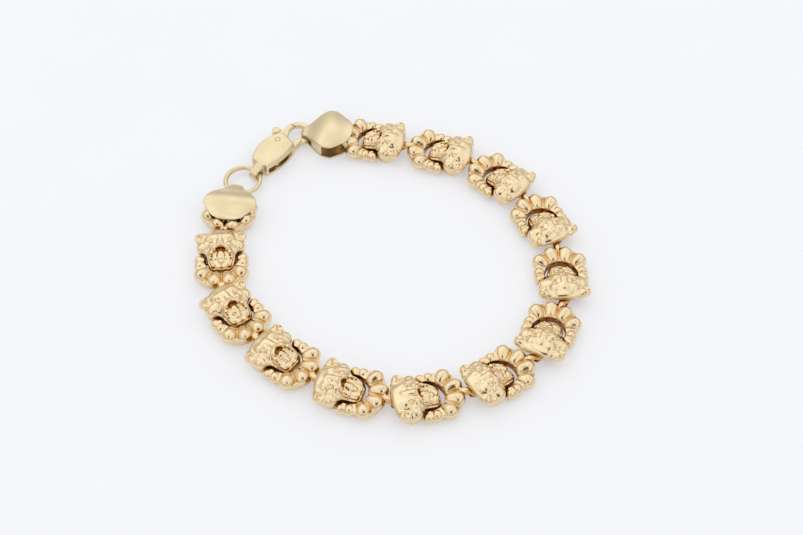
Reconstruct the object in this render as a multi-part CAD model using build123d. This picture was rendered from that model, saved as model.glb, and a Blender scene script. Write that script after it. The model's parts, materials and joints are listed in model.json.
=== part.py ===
from build123d import *
from collections import namedtuple
import math
import os

# Gold link bracelet with big cat heads, lying flat and fastened
# Millimetres, +Z up, origin on the surface it lies on, under the middle of its box

# Sizes of the whole chain
head_count = 12
link_pitch = 12.5
floor_gap = 0.5
running_gap = 0.06
piece_gap = 0.12

# Sizes of a cat head, measured from its back (x = 0) to its chin
head_length = 7.4
cheek_half_width = 4.15
head_height = 4.0
head_hollow_height = 2.35
head_hollow_half_width = 2.4
head_hollow_length = 3.2
ear_radius = 1.15
ear_cup_radius = 0.8
ear_spread = 3.5
ear_set_back = 1.1
ear_lift = 2.45
ear_cup_forward = 0.48
ear_cup_outward = 0.22
mouth_half_width = 1.85
mouth_front_half_width = 1.45
mouth_back = 3.8
mouth_throat_height = 2.6
mouth_floor = 1.6
lip_rim = 0.5
tongue_radius = 0.66
tongue_tip_radius = 0.54
tongue_from = 0.25
tongue_to = 0.7
front_tooth_count = 4
tooth_step = 0.46
tooth_radius = 0.22
canine_radius = 0.3
canine_tip_radius = 0.1
lower_canine_height = 0.95
upper_canine_height = 1.3
upper_canine_lift = 2.85

# Sizes of a horseshoe collar, measured from the middle of its opening
collar_half_width = 4.65
collar_mouth_half_width = 2.65
collar_base_reach = 5.9
collar_band_height = 1.5
collar_band_inset = 0.15
band_share = 0.88
lobe_lift = 0.88
base_angle = 60

# Sizes of the hinges between heads and collars
jaw_pin_radius = 0.3
jaw_pin_height = 1.0
jaw_pin_reach = 3.6
neck_pin_radius = 0.4
neck_pin_inset = 0.65
neck_foot_radius = 0.75
neck_foot_height = 0.4
neck_gap = 1.8
eye_radius = 1.05
eye_thickness = 1.0
eye_height = 1.6
tab_radius = 0.42

# Sizes of an end cap, measured from the tip of its tongue
cap_length = 9.7
cap_half_width = 4.7
cap_plate = 0.4
cap_top_height = 3.95
cap_under_height = 3.05
cap_tongue_half_width = 1.35
cap_plate_inset = 0.3
cap_wall = 0.45
cap_skirt_height = 0.9
cap_shoulder = 2.4
cap_tip_rounding = 0.5
cap_rise_share = 0.36
lug_half_length = 0.9
fold_radius = 1.15
fold_wall = 0.35
fold_slot = 1.0
ring_seat = 1.5
hook_seat = 1.75

# Sizes of the jump ring
ring_radius = 3.07
ring_wire_radius = 0.43

# Sizes of the lobster clasp, measured from its tail
clasp_height = 2.8
clasp_left_half_width = 3.2
clasp_right_half_width = 2.1
clasp_tail_half_width = 0.72
clasp_bevel = 0.3
clasp_belly_share = 0.42
clasp_shoulder_back = 3.4
clasp_shoulder_side = 1.8
clasp_corner_back = 2.35
clasp_corner_side = 1.9
clasp_hollow_back = 2.75
hook_radius = 2.2
hook_wire_radius = 0.45
hook_shoulder_radius = 0.85
hook_root_radius = 0.5
hook_root_margin = 0.22
lever_thickness = 0.9
lever_slot = 1.1
lever_pin_radius = 0.45
lever_pivot_back = 4.4
lever_pivot_side = 1.2
lever_boss_radius = 1.15
lever_tail_length = 3.6
lever_tail_radius = 0.6
nub_radius = 0.75
nub_height = 1.5
nub_stand_off = 0.3
clasp_tail_end = 2.6
hook_from = -140
gate_from = 128
gate_meets_hook = 67
tip_scarf = 12

# Where the chain leaves the caps, measured from the tips of their tongues
left_tip_to_pivot = 12.8
right_tip_to_pivot = 5.8

# The route of the chain as it lies: where the first head turns, and the heading of each link in degrees
# The first heading is the left cap with its collar, the last the right cap
route_start = (-31.05, 5.02)
route_headings = [-99, -85, -54, -36, -17, 11, 34, 66, 93, 116, 139, 164, 170, 172]
ring_bearing = 71
clasp_bearing = 38
hook_bearing = 173

# Where the parts of one link meet, measured along it
collar_band_width = collar_half_width - collar_mouth_half_width
collar_in_head = neck_pin_inset + link_pitch - neck_gap - collar_base_reach
neck_in_origin = Pos(-neck_pin_inset, 0, 0)
eye_in_origin = Pos(-collar_base_reach - neck_gap, 0, 0)

# Sections of a head from its back to its chin, as shares of its length, half width and height
Section = namedtuple("Section", "along width height shoulder")
head_sections = [
    Section(along=0.00, width=0.83, height=0.75, shoulder=0.50),
    Section(along=0.20, width=0.95, height=0.90, shoulder=0.60),
    Section(along=0.39, width=0.99, height=0.94, shoulder=0.60),
    Section(along=0.54, width=0.76, height=0.89, shoulder=0.60),
    Section(along=0.67, width=0.58, height=0.75, shoulder=0.54),
    Section(along=0.84, width=0.54, height=0.58, shoulder=0.44),
    Section(along=0.93, width=0.47, height=0.50, shoulder=0.38),
    Section(along=1.00, width=0.34, height=0.44, shoulder=0.34),
]

# Rounded forms raised on a head, as shares of its length, half width and height
Form = namedtuple("Form", "along side height radius")
face_forms = [
    Form(along=0.21, side=0.36, height=0.71, radius=1.00),
    Form(along=0.34, side=0.44, height=0.80, radius=0.50),
    Form(along=0.46, side=0.31, height=0.73, radius=0.85),
    Form(along=0.40, side=0.72, height=0.50, radius=1.20),
]
nose_root = Form(along=0.20, side=0, height=0.86, radius=0.57)
nose_tip = Form(along=0.45, side=0, height=0.88, radius=0.64)

# Lobes of a collar from the middle of its base to the tip of an arm
# Angle round the opening in degrees, reach as a share of the half width, radii as shares of the band
Lobe = namedtuple("Lobe", "angle reach outer inner")
collar_lobes = [
    Lobe(angle=15.5, reach=1.000, outer=0.64, inner=0.43),
    Lobe(angle=48.0, reach=0.957, outer=0.64, inner=0.43),
    Lobe(angle=78.5, reach=0.800, outer=0.48, inner=0.37),
    Lobe(angle=99.0, reach=0.817, outer=0.38, inner=0.29),
]

# Points of a cap's outline, as shares of its length and half width
OutlinePoint = namedtuple("OutlinePoint", "along side")
cap_waist = OutlinePoint(along=0.20, side=0.56)
cap_widest = OutlinePoint(along=0.58, side=1.0)
cap_rounding = OutlinePoint(along=0.66, side=0.985)
cap_corner = OutlinePoint(along=0.70, side=0.92)

# Sections of a cap's dome, as shares of its length and of its height in the middle and at its edges
DomeSection = namedtuple("DomeSection", "along middle edge")
cap_dome = [
    DomeSection(along=0.36, middle=0.88, edge=0.80),
    DomeSection(along=0.62, middle=1.00, edge=0.81),
    DomeSection(along=1.00, middle=0.89, edge=0.74),
]


def heading_vector(angle):
    return Vector(math.cos(math.radians(angle)), math.sin(math.radians(angle)), 0)


def laid(shape, point, angle):
    return Location((point.X, point.Y, 0), (0, 0, angle)) * shape


def sphere_at(x, y, z, radius):
    return Pos(x, y, z) * Sphere(radius)


def upright(x, y, low, high, radius):
    return Pos(x, y, (low + high) / 2) * Cylinder(radius, high - low)


def crossbar(x, z, half_length, radius):
    return Pos(x, 0, z) * Rot(90, 0, 0) * Cylinder(radius, 2 * half_length)


def block(x_low, x_high, y_low, y_high, z_low, z_high):
    size = Box(x_high - x_low, y_high - y_low, z_high - z_low)
    return Pos((x_low + x_high) / 2, (y_low + y_high) / 2, (z_low + z_high) / 2) * size


def tapered_bar(start, end, start_radius, end_radius):
    """A round bar with ball ends whose radius changes along it."""
    axis = end - start
    reach = axis.length
    # The cone meets each ball where both have the same slope
    lean = (start_radius - end_radius) / reach
    spread = math.sqrt(1 - lean * lean)
    start_rim = (start_radius * spread, start_radius * lean)
    end_rim = (end_radius * spread, reach + end_radius * lean)
    start_turn = math.radians(90 + math.degrees(math.asin(lean))) / 2
    end_turn = math.radians(90 - math.degrees(math.asin(lean))) / 2
    start_middle = (start_radius * math.sin(start_turn), -start_radius * math.cos(start_turn))
    end_middle = (end_radius * math.sin(end_turn), reach + end_radius * math.cos(end_turn))
    profile = ThreePointArc((0, -start_radius), start_middle, start_rim)
    profile += Line(start_rim, end_rim) + ThreePointArc(end_rim, end_middle, (0, reach + end_radius))
    profile += Line((0, reach + end_radius), (0, -start_radius))
    side = Vector(0, 0, 1).cross(axis).normalized()
    # The profile stands in the plane of the bar's axis and turns about it
    plane = Plane(origin=start, x_dir=side, z_dir=side.cross(axis))
    return revolve(plane * make_face(profile), Axis(start, axis), 360)


def arched_section(x, half_width, height, shoulder):
    base = Polyline((half_width, shoulder), (half_width, 0), (-half_width, 0), (-half_width, shoulder))
    crown = ThreePointArc((-half_width, shoulder), (0, height), (half_width, shoulder))
    return Plane.YZ.offset(x) * make_face(base + crown)


def cat_head():
    """A roaring cat head, hollow underneath, with the neck pin that holds a collar's eye."""
    sections = [
        arched_section(
            row.along * head_length,
            row.width * cheek_half_width,
            row.height * head_height,
            row.shoulder * head_height,
        )
        for row in head_sections
    ]
    head = loft(sections)
    # Brows, eyes, whisker pads and cheeks in mirrored pairs
    for row in face_forms:
        for side in (-1, 1):
            x = row.along * head_length
            y = side * row.side * cheek_half_width
            head += sphere_at(x, y, row.height * head_height, row.radius)
    # Bridge and tip of the nose
    bridge_start = Vector(nose_root.along * head_length, 0, nose_root.height * head_height)
    bridge_end = Vector(nose_tip.along * head_length, 0, nose_tip.height * head_height)
    head += tapered_bar(bridge_start, bridge_end, nose_root.radius, nose_tip.radius)
    # Round ears at the back corners, each with its cup
    for side in (-1, 1):
        head += sphere_at(ear_set_back, side * ear_spread, ear_lift, ear_radius)
        cup_x = ear_set_back + ear_cup_forward
        cup_y = side * (ear_spread + ear_cup_outward)
        head -= sphere_at(cup_x, cup_y, ear_lift + ear_radius, ear_cup_radius)
    # Open mouth, arched under the nose and square at the chin
    mouth_front = head_length - lip_rim
    mouth_middle = mouth_back + mouth_half_width
    outline = make_face(Polyline(
        (mouth_middle, mouth_half_width), (mouth_front, mouth_front_half_width),
        (mouth_front, -mouth_front_half_width), (mouth_middle, -mouth_half_width), close=True,
    ))
    outline += Pos(mouth_middle, 0) * Circle(mouth_half_width)
    mouth = extrude(outline, 2 * head_height, dir=(0, 0, 1))
    # Its floor slopes from the throat to the chin
    side_view = Polyline(
        (0, 0), (0, mouth_throat_height), (mouth_back, mouth_throat_height),
        (mouth_front, mouth_floor), (head_length, mouth_floor), (head_length, 0), close=True,
    )
    mouth -= extrude(make_face(Plane.XZ * side_view), cheek_half_width, both=True)
    head -= mouth
    head += mouth_fittings(mouth_front)
    # Hollow underneath, open at the back where the eye comes in
    head -= block(
        -ear_radius, head_hollow_length,
        -head_hollow_half_width, head_hollow_half_width, -floor_gap, head_hollow_height,
    )
    head -= crossbar(collar_in_head, jaw_pin_height, cheek_half_width, jaw_pin_radius + running_gap)
    # Neck pin with its foot
    foot_top = eye_height - eye_thickness / 2 - piece_gap
    foot_low = foot_top - neck_foot_height
    head += upright(neck_pin_inset, 0, foot_low, head_hollow_height + piece_gap, neck_pin_radius)
    head += upright(neck_pin_inset, 0, foot_low, foot_top, neck_foot_radius)
    return head


def mouth_fittings(mouth_front):
    """Tongue, front teeth and four canines."""
    floor_line = Vector(mouth_front, 0, mouth_floor) - Vector(mouth_back, 0, mouth_throat_height)
    tongue_start = Vector(mouth_back, 0, mouth_throat_height) + floor_line * tongue_from
    tongue_end = Vector(mouth_back, 0, mouth_throat_height) + floor_line * tongue_to
    fittings = tapered_bar(tongue_start, tongue_end, tongue_radius, tongue_tip_radius)
    for index in range(front_tooth_count):
        y = (index - (front_tooth_count - 1) / 2) * tooth_step
        fittings += sphere_at(mouth_front, y, mouth_floor + tooth_radius / 2, tooth_radius)
    upper_side = mouth_half_width - canine_radius
    lower_side = mouth_front_half_width - canine_radius
    upper_x = mouth_back + mouth_half_width / 2
    lower_x = mouth_front - canine_radius / 2
    for side in (-1, 1):
        upper = Pos(upper_x, side * upper_side, upper_canine_lift)
        lower = Pos(lower_x, side * lower_side, mouth_floor + lower_canine_height / 2)
        fittings += upper * Cone(canine_tip_radius, canine_radius, upper_canine_height)
        fittings += lower * Cone(canine_radius, canine_tip_radius, lower_canine_height)
    return fittings


def collar():
    """A horseshoe of eight lobes with its jaw pin and its eye."""
    # Lobes across the band, widest outside, flat underneath
    ring = Part()
    for row in collar_lobes:
        outer = row.outer * collar_band_width
        inner = row.inner * collar_band_width
        lobe_height = floor_gap + lobe_lift * outer
        for side in (-1, 1):
            direction = heading_vector(side * row.angle)
            outer_centre = direction * (row.reach * collar_half_width)
            inner_centre = direction * (collar_mouth_half_width + inner)
            if row.angle > base_angle:
                # The lobes of the arms lie straight across them
                inner_centre = Vector(outer_centre.X, side * (collar_mouth_half_width + inner))
                outer_centre = Vector(outer_centre.X, side * (collar_half_width - outer))
            lift = Vector(0, 0, lobe_height)
            ring += tapered_bar(outer_centre + lift, inner_centre + lift, outer, inner)
    wide = 2 * collar_half_width
    ring -= block(-wide, wide, -wide, wide, -head_height, floor_gap)
    # Band that the lobes sit on
    band_half_width = collar_half_width * band_share
    band_reach = collar_base_reach * band_share
    arm_tip = collar_lobes[-1]
    band_back = arm_tip.reach * collar_half_width * math.cos(math.radians(arm_tip.angle))
    outline = Rectangle(band_reach - band_back, 2 * band_half_width)
    outline = Pos((band_back + band_reach) / 2, 0) * outline
    outline = fillet(outline.vertices().group_by(Axis.X)[-1], collar_mouth_half_width)
    opening_half_width = collar_mouth_half_width + collar_band_inset
    opening = Circle(opening_half_width)
    opening += Pos(-wide / 2, 0) * Rectangle(wide, 2 * opening_half_width)
    ring += Pos(0, 0, floor_gap) * extrude(outline - opening, collar_band_height)
    # Jaw pin across the opening
    ring += crossbar(0, jaw_pin_height, jaw_pin_reach, jaw_pin_radius)
    # Tab and eye in front of the base
    eye_x = collar_base_reach + neck_gap
    tab_start = band_reach - tab_radius
    tab_end = eye_x - neck_pin_radius - tab_radius
    tab = Rot(0, 90, 0) * Cylinder(tab_radius, tab_end - tab_start)
    ring += Pos((tab_start + tab_end) / 2, 0, eye_height) * tab
    eye_low = eye_height - eye_thickness / 2
    ring += upright(eye_x, 0, eye_low, eye_low + eye_thickness, eye_radius)
    return ring - upright(eye_x, 0, 0, head_height, neck_pin_radius + running_gap)


def cap_outline(inset):
    """Shield outline from the rounded tongue to the convex wide end."""
    neck = cap_tongue_half_width - inset
    end = cap_length - inset
    edges = ThreePointArc((cap_tip_rounding, neck), (0, 0), (cap_tip_rounding, -neck))
    for side in (-1, 1):
        waist, widest, rounding, corner = [
            (point.along * cap_length, side * point.side * (cap_half_width - inset))
            for point in (cap_waist, cap_widest, cap_rounding, cap_corner)
        ]
        slopes = ((1, side * 0.6), (1, side * 0.1))
        edges += Spline((cap_tip_rounding, side * neck), waist, widest, tangents=slopes)
        edges += ThreePointArc(widest, rounding, corner)
    left_corner = (corner[0], -corner[1])
    return make_face(edges + ThreePointArc(left_corner, (end, 0), corner))


def end_cap(skirt_end):
    """A domed top plate folded round at its tongue into a flat bottom plate."""
    # Side view of the folded plates
    fold_top = 2 * fold_radius
    fold_under = fold_top - fold_wall
    rise_x = cap_rise_share * cap_length
    slot_x = fold_radius + fold_slot
    inner_start, inner_end = (fold_radius, fold_wall), (fold_radius, fold_under)
    outer_line = Line((cap_length, 0), (fold_radius, 0))
    outer_line += ThreePointArc((fold_radius, 0), (0, fold_radius), (fold_radius, fold_top))
    outer_line += Polyline(
        (fold_radius, fold_top), (fold_radius, 2 * cap_top_height), (cap_length, 2 * cap_top_height),
    )
    inner_line = Polyline((cap_length, cap_plate), (slot_x, cap_plate), inner_start)
    inner_line += ThreePointArc(inner_start, (fold_wall, fold_radius), inner_end)
    inner_line += Polyline(
        inner_end, (slot_x, fold_under), (rise_x, cap_under_height), (cap_length, cap_under_height),
    )
    ends = Line((cap_length, 0), (cap_length, cap_plate))
    ends += Line((cap_length, cap_under_height), (cap_length, 2 * cap_top_height))
    profile = make_face(Plane.XZ * (outer_line + inner_line + ends))
    plates = extrude(profile, cap_half_width, both=True)
    # Skirt under the shoulders
    skirt_face = cap_outline(0) - cap_outline(cap_wall)
    skirt = Pos(0, 0, cap_skirt_height) * extrude(skirt_face, cap_top_height, dir=(0, 0, 1))
    skirt_top = cap_under_height + running_gap
    plates += skirt & block(cap_shoulder, skirt_end, -cap_half_width, cap_half_width, 0, skirt_top)
    # Dome over the plates, level with the fold at the tongue, and the outlines of both plates
    dome = [
        arched_section(x, cap_half_width, fold_top, fold_top - running_gap) for x in (0, fold_radius)
    ]
    dome += [
        arched_section(
            row.along * cap_length, cap_half_width, row.middle * cap_top_height, row.edge * cap_top_height,
        )
        for row in cap_dome
    ]
    plates &= loft(dome)
    upper = Pos(0, 0, cap_skirt_height) * extrude(cap_outline(0), cap_top_height, dir=(0, 0, 1))
    lower = extrude(cap_outline(cap_plate_inset), cap_skirt_height, dir=(0, 0, 1))
    return plates & (upper + lower)


def left_end_cap():
    """The cap with a lug that the first collar's jaw pin passes through."""
    pin_x = left_tip_to_pivot - neck_gap - collar_base_reach
    arm_tip = collar_lobes[-1]
    arm_middle = arm_tip.reach * collar_half_width * math.cos(math.radians(arm_tip.angle))
    arm_back = arm_middle - arm_tip.outer * collar_band_width
    cap = end_cap(pin_x + arm_back - piece_gap)
    lug_side = collar_mouth_half_width - 2 * piece_gap
    lug = block(
        pin_x - lug_half_length, pin_x + lug_half_length,
        -lug_side, lug_side, cap_plate / 2, cap_under_height + piece_gap,
    )
    return cap + lug - crossbar(pin_x, jaw_pin_height, cap_half_width, jaw_pin_radius + running_gap)


def right_end_cap():
    """The cap with an upright pin that holds the last collar's eye."""
    pin_top = cap_under_height + piece_gap
    cap = end_cap(right_tip_to_pivot - eye_radius - piece_gap)
    return cap + upright(right_tip_to_pivot, 0, cap_plate / 2, pin_top, neck_pin_radius)


def jump_ring():
    return Pos(0, 0, fold_radius) * Torus(ring_radius, ring_wire_radius)


def clasp_outline():
    """Teardrop body: a narrow tail, a full left side, and a hollow top edge at the hook."""
    tail_x = fold_radius
    belly_x = clasp_belly_share * hook_reach
    shoulder = (hook_reach - clasp_shoulder_back, -clasp_shoulder_side)
    lever_corner = (hook_reach - clasp_corner_back, clasp_corner_side)
    tail_left = (tail_x, clasp_tail_half_width)
    tail_right = (tail_x, -clasp_tail_half_width)
    left = ThreePointArc(tail_left, (belly_x, clasp_left_half_width), lever_corner)
    right = ThreePointArc(tail_right, (belly_x, -clasp_right_half_width), shoulder)
    top = ThreePointArc(lever_corner, (hook_reach - clasp_hollow_back, 0), shoulder)
    tail = Line(tail_left, tail_right)
    return make_face(left + right + top + tail)


def clasp_body():
    """Two plates with the tail loop, the slot for the lever, the shoulder and the fixed hook."""
    body = extrude(clasp_outline(), clasp_height, dir=(0, 0, 1))
    body = chamfer(body.faces().sort_by(Axis.Z)[-1].edges(), clasp_bevel)
    # Tail folded round the jump ring, rising to the body
    body -= block(-fold_radius, clasp_tail_end, -clasp_height, clasp_height, -floor_gap, 2 * clasp_height)
    side_view = ThreePointArc((fold_radius, 0), (0, fold_radius), (fold_radius, 2 * fold_radius))
    side_view += Polyline(
        (fold_radius, 2 * fold_radius), (clasp_tail_end, clasp_height),
        (clasp_tail_end, 0), (fold_radius, 0),
    )
    body += extrude(make_face(Plane.XZ * side_view), clasp_tail_half_width, both=True)
    tunnel = Cylinder(fold_radius - fold_wall, clasp_height)
    tunnel = Pos(fold_radius, 0, fold_radius) * Rot(90, 0, 0) * tunnel
    body -= tunnel + Pos(fold_slot / 2, 0, 0) * tunnel
    # Slot between the plates
    slot_low = fold_radius - lever_slot / 2
    slot_high = fold_radius + lever_slot / 2
    body -= block(
        clasp_tail_end + cap_wall, hook_reach - lever_pivot_back,
        -2 * clasp_left_half_width, 2 * clasp_left_half_width, slot_low, slot_high,
    )
    body -= block(
        hook_reach - lever_pivot_back - cap_wall, hook_reach,
        lever_pivot_side - lever_boss_radius - cap_wall, 2 * clasp_left_half_width, slot_low, slot_high,
    )
    # Shoulder and hook
    shoulder = Vector(hook_reach - lever_pivot_back + cap_wall, -clasp_right_half_width / 2, 0)
    root = Vector(hook_reach, 0, 0) + heading_vector(hook_from) * hook_radius
    low = fold_radius - hook_wire_radius
    high = fold_radius + hook_wire_radius
    hook = bent_strip(hook_from, gate_meets_hook + tip_scarf, low, high)
    hook -= gate_sweep(piece_gap) & block(0, 2 * hook_reach, 0, 2 * clasp_left_half_width, 0, clasp_height)
    body += hook
    body += rounded_plate(
        shoulder, root, hook_shoulder_radius, hook_root_radius,
        low - hook_root_margin, high + hook_root_margin,
    )
    pin_hole = lever_pin_radius + running_gap / 3
    return body - upright(lever_pivot_x, lever_pivot_side, -floor_gap, 2 * clasp_height, pin_hole)


def bent_strip(angle_from, angle_to, low, high):
    """A curved bar about the middle of the hook's eye."""
    middle = Vector(hook_reach, 0, 0)
    half_angle = (angle_from + angle_to) / 2
    directions = [heading_vector(angle) for angle in (angle_from, half_angle, angle_to)]
    outer = [middle + direction * (hook_radius + hook_wire_radius) for direction in directions]
    inner = [middle + direction * (hook_radius - hook_wire_radius) for direction in directions]
    edges = ThreePointArc(*outer) + ThreePointArc(*inner)
    edges += Line(outer[-1], inner[-1]) + Line(inner[0], outer[0])
    return Pos(0, 0, low) * extrude(make_face(edges), high - low, dir=(0, 0, 1))


def gate_sweep(margin):
    """All that the lever's gate can reach when it turns."""
    pivot = Vector(lever_pivot_x, lever_pivot_side, 0)
    tip = Vector(hook_reach, 0, 0) + heading_vector(gate_meets_hook) * hook_radius
    return upright(pivot.X, pivot.Y, 0, clasp_height, (tip - pivot).length + margin)


def rounded_plate(start, end, start_radius, end_radius, low, high):
    """A flat lever arm between two round ends."""
    axis = end - start
    lean = math.degrees(math.acos((start_radius - end_radius) / axis.length))
    bearing = math.degrees(math.atan2(axis.Y, axis.X))
    corners = [
        start + heading_vector(bearing + lean) * start_radius,
        end + heading_vector(bearing + lean) * end_radius,
        end + heading_vector(bearing - lean) * end_radius,
        start + heading_vector(bearing - lean) * start_radius,
    ]
    arm = make_face(Polyline(*corners, close=True))
    arm += Pos(start.X, start.Y) * Circle(start_radius) + Pos(end.X, end.Y) * Circle(end_radius)
    return Pos(0, 0, low) * extrude(arm, high - low, dir=(0, 0, 1))


def clasp_lever():
    """Flat lever with a nub for the thumb, a tail between the plates and the gate that closes the hook."""
    low = fold_radius - lever_thickness / 2
    high = fold_radius + lever_thickness / 2
    pivot = Vector(lever_pivot_x, lever_pivot_side, 0)
    gate_start = Vector(hook_reach, 0, 0) + heading_vector(gate_from) * hook_radius
    tail = Vector(lever_pivot_x - lever_tail_length, -clasp_right_half_width / 2, 0)
    nub = Vector(hook_reach - hook_radius + piece_gap, clasp_left_half_width + nub_stand_off, 0)
    lever = rounded_plate(pivot, gate_start, lever_boss_radius, lever_thickness / 2, low, high)
    lever += rounded_plate(pivot, tail, lever_boss_radius, lever_tail_radius, low, high)
    lever += rounded_plate(gate_start, nub, lever_thickness / 2, nub_radius, low, high)
    lever += upright(nub.X, nub.Y, fold_radius - nub_height / 2, fold_radius + nub_height / 2, nub_radius)
    lever += bent_strip(gate_from, gate_meets_hook - tip_scarf, low, high)
    lever &= gate_sweep(0)
    return lever - upright(pivot.X, pivot.Y, 0, clasp_height, lever_pin_radius + running_gap)


def clasp_pin():
    return upright(lever_pivot_x, lever_pivot_side, 0, clasp_height, lever_pin_radius)


# Where the pieces lie on the route
pivots = [Vector(*route_start, 0)]
for heading in route_headings[1:-1]:
    pivots.append(pivots[-1] + heading_vector(heading) * link_pitch)
cap_headings = (route_headings[0], route_headings[-1] + 180)
left_tip = pivots[0] - heading_vector(cap_headings[0]) * left_tip_to_pivot
right_tip = pivots[-1] - heading_vector(cap_headings[1]) * right_tip_to_pivot
left_seat = left_tip + heading_vector(cap_headings[0]) * ring_seat
right_seat = right_tip + heading_vector(cap_headings[1]) * hook_seat
ring_middle = left_seat + heading_vector(ring_bearing) * ring_radius
tail_seat = ring_middle + heading_vector(clasp_bearing) * ring_radius
hook_middle = right_seat + heading_vector(hook_bearing) * hook_radius
# The clasp is as long as the way from the jump ring to the right cap
clasp_way = hook_middle - tail_seat
clasp_heading = math.degrees(math.atan2(clasp_way.Y, clasp_way.X))
clasp_tail = tail_seat - heading_vector(clasp_heading) * ring_seat
hook_reach = clasp_way.length + ring_seat
lever_pivot_x = hook_reach - lever_pivot_back

# Every piece in its place
head_shape = cat_head()
collar_shape = collar()
pieces = {}
for index in range(head_count):
    name = f"head_{index + 1:02d}"
    pieces[name] = laid(neck_in_origin * head_shape, pivots[index], route_headings[index + 1])
for index in range(head_count + 1):
    name = f"collar_{index + 1:02d}"
    pieces[name] = laid(eye_in_origin * collar_shape, pivots[index], route_headings[index])
pieces["left_end_cap"] = laid(left_end_cap(), left_tip, cap_headings[0])
pieces["right_end_cap"] = laid(right_end_cap(), right_tip, cap_headings[1])
pieces["jump_ring"] = laid(jump_ring(), ring_middle, ring_bearing)
pieces["clasp_body"] = laid(clasp_body(), clasp_tail, clasp_heading)
pieces["clasp_lever"] = laid(clasp_lever(), clasp_tail, clasp_heading)
pieces["clasp_pin"] = laid(clasp_pin(), clasp_tail, clasp_heading)

# The origin goes under the middle of the whole
box = Compound(list(pieces.values())).bounding_box()
to_origin = Pos(-box.center().X, -box.center().Y, -box.min.Z)
os.makedirs("parts", exist_ok=True)
for name, piece in pieces.items():
    export_step(to_origin * piece, f"parts/{name}.step")
print("lever pivot", (to_origin * pieces["clasp_pin"]).center())
print("clasp heading", clasp_heading, "hook reach", hook_reach)
print("shift of the whole", to_origin.position)
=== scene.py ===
"""Gold link bracelet with big cat heads, lying fastened on a pale table."""

import json
import math
from collections import namedtuple

import bpy
import numpy as np
from mathutils import Matrix, Vector
from mathutils.bvhtree import BVHTree


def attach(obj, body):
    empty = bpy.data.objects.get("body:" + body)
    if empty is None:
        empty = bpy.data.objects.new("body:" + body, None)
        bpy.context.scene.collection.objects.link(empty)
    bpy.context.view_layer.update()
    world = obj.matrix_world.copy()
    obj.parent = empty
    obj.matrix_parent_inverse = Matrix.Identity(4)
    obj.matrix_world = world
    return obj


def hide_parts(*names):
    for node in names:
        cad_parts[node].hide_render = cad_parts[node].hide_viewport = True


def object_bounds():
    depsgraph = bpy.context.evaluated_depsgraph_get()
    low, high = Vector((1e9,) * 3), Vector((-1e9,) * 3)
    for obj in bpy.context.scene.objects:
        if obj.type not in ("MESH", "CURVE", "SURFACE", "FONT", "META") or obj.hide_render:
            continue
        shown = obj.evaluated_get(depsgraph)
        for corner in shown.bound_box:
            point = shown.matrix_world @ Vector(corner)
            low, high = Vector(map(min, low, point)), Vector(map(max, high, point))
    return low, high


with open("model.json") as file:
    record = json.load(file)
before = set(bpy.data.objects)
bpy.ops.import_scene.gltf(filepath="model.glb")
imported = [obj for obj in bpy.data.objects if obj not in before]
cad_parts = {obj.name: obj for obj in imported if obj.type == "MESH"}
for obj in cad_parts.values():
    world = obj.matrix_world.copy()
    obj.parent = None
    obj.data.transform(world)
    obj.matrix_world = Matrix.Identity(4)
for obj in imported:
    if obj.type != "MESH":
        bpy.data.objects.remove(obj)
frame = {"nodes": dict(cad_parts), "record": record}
cad_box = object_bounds()

bl_info = {
    "name": "Big cat link bracelet",
    "version": (1, 0, 0),
    "blender": (4, 5, 0),
    "location": "3D View > Sidebar > Bracelet",
    "description": "Dresses the gold bracelet's links, caps and clasp, and sets its table, light and camera",
    "category": "Object",
}

# Pieces are shaped at one unit to the millimetre and laid down in metres
MM = 0.001

HEADS = [f"head_{number:02d}" for number in range(1, 13)]
COLLARS = [f"collar_{number:02d}" for number in range(1, 14)]

# Both sides of the middle line
SIDES = (1, -1)

# Raised and sunk lines on a head, in mm from its back and from its middle line
# Every line is on both sides; lift is its height over the skin, below it where negative
Line = namedtuple("Line", "part points width lift")
FACE_LINES = [
    Line("brow", [(2.02, 0.90), (1.80, 1.36), (1.94, 2.05), (2.45, 2.60)], 0.26, 0.07),
    Line("side of the nose", [(2.60, 0.64), (3.20, 0.72)], 0.10, -0.08),
    Line("tear line", [(2.85, 1.40), (3.10, 1.08), (3.40, 0.86)], 0.08, -0.10),
    Line("eye corner", [(2.35, 2.26), (2.16, 2.62), (2.06, 3.05)], 0.10, -0.10),
    Line("whisker pad edge", [(2.92, 1.42), (2.96, 1.90), (3.25, 2.24), (3.85, 2.36)], 0.10, -0.12),
    Line("cheek fold", [(3.05, 2.50), (3.55, 2.78), (4.25, 2.68)], 0.15, 0.08),
    Line("upper lip", [(3.70, 0.0), (3.86, 0.72), (4.30, 1.42), (4.90, 1.84), (5.60, 1.98)], 0.11, 0.09),
    Line("lip line", [(3.42, 0.30), (3.58, 0.88), (4.02, 1.62), (4.66, 2.10), (5.20, 2.26)], 0.07, -0.15),
    Line("lip parting", [(3.45, 0.0), (3.80, 0.0)], 0.07, -0.15),
    Line("jaw groove", [(5.20, 2.14), (5.90, 2.04), (6.92, 1.72), (7.20, 1.25), (7.22, 0.0)], 0.07, -0.12),
    Line("chin notch", [(7.02, 0.0), (7.40, 0.0)], 0.16, -0.16),
    Line("tongue furrow", [(4.70, 0.0), (5.70, 0.0)], 0.09, -0.08),
    Line("tongue fold", [(5.90, 0.0), (5.84, 0.55), (5.72, 0.95)], 0.09, -0.10),
]

# Strands of fur combed back over the cheeks
FUR_LINES = [
    Line("cheek fur", [(3.90, 2.90), (3.42, 3.36), (2.90, 3.66)], 0.10, -0.05),
    Line("cheek fur", [(3.40, 2.92), (2.92, 3.40), (2.40, 3.72)], 0.10, -0.05),
    Line("cheek fur", [(2.90, 2.98), (2.50, 3.36), (2.12, 3.62)], 0.10, -0.05),
]

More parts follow.
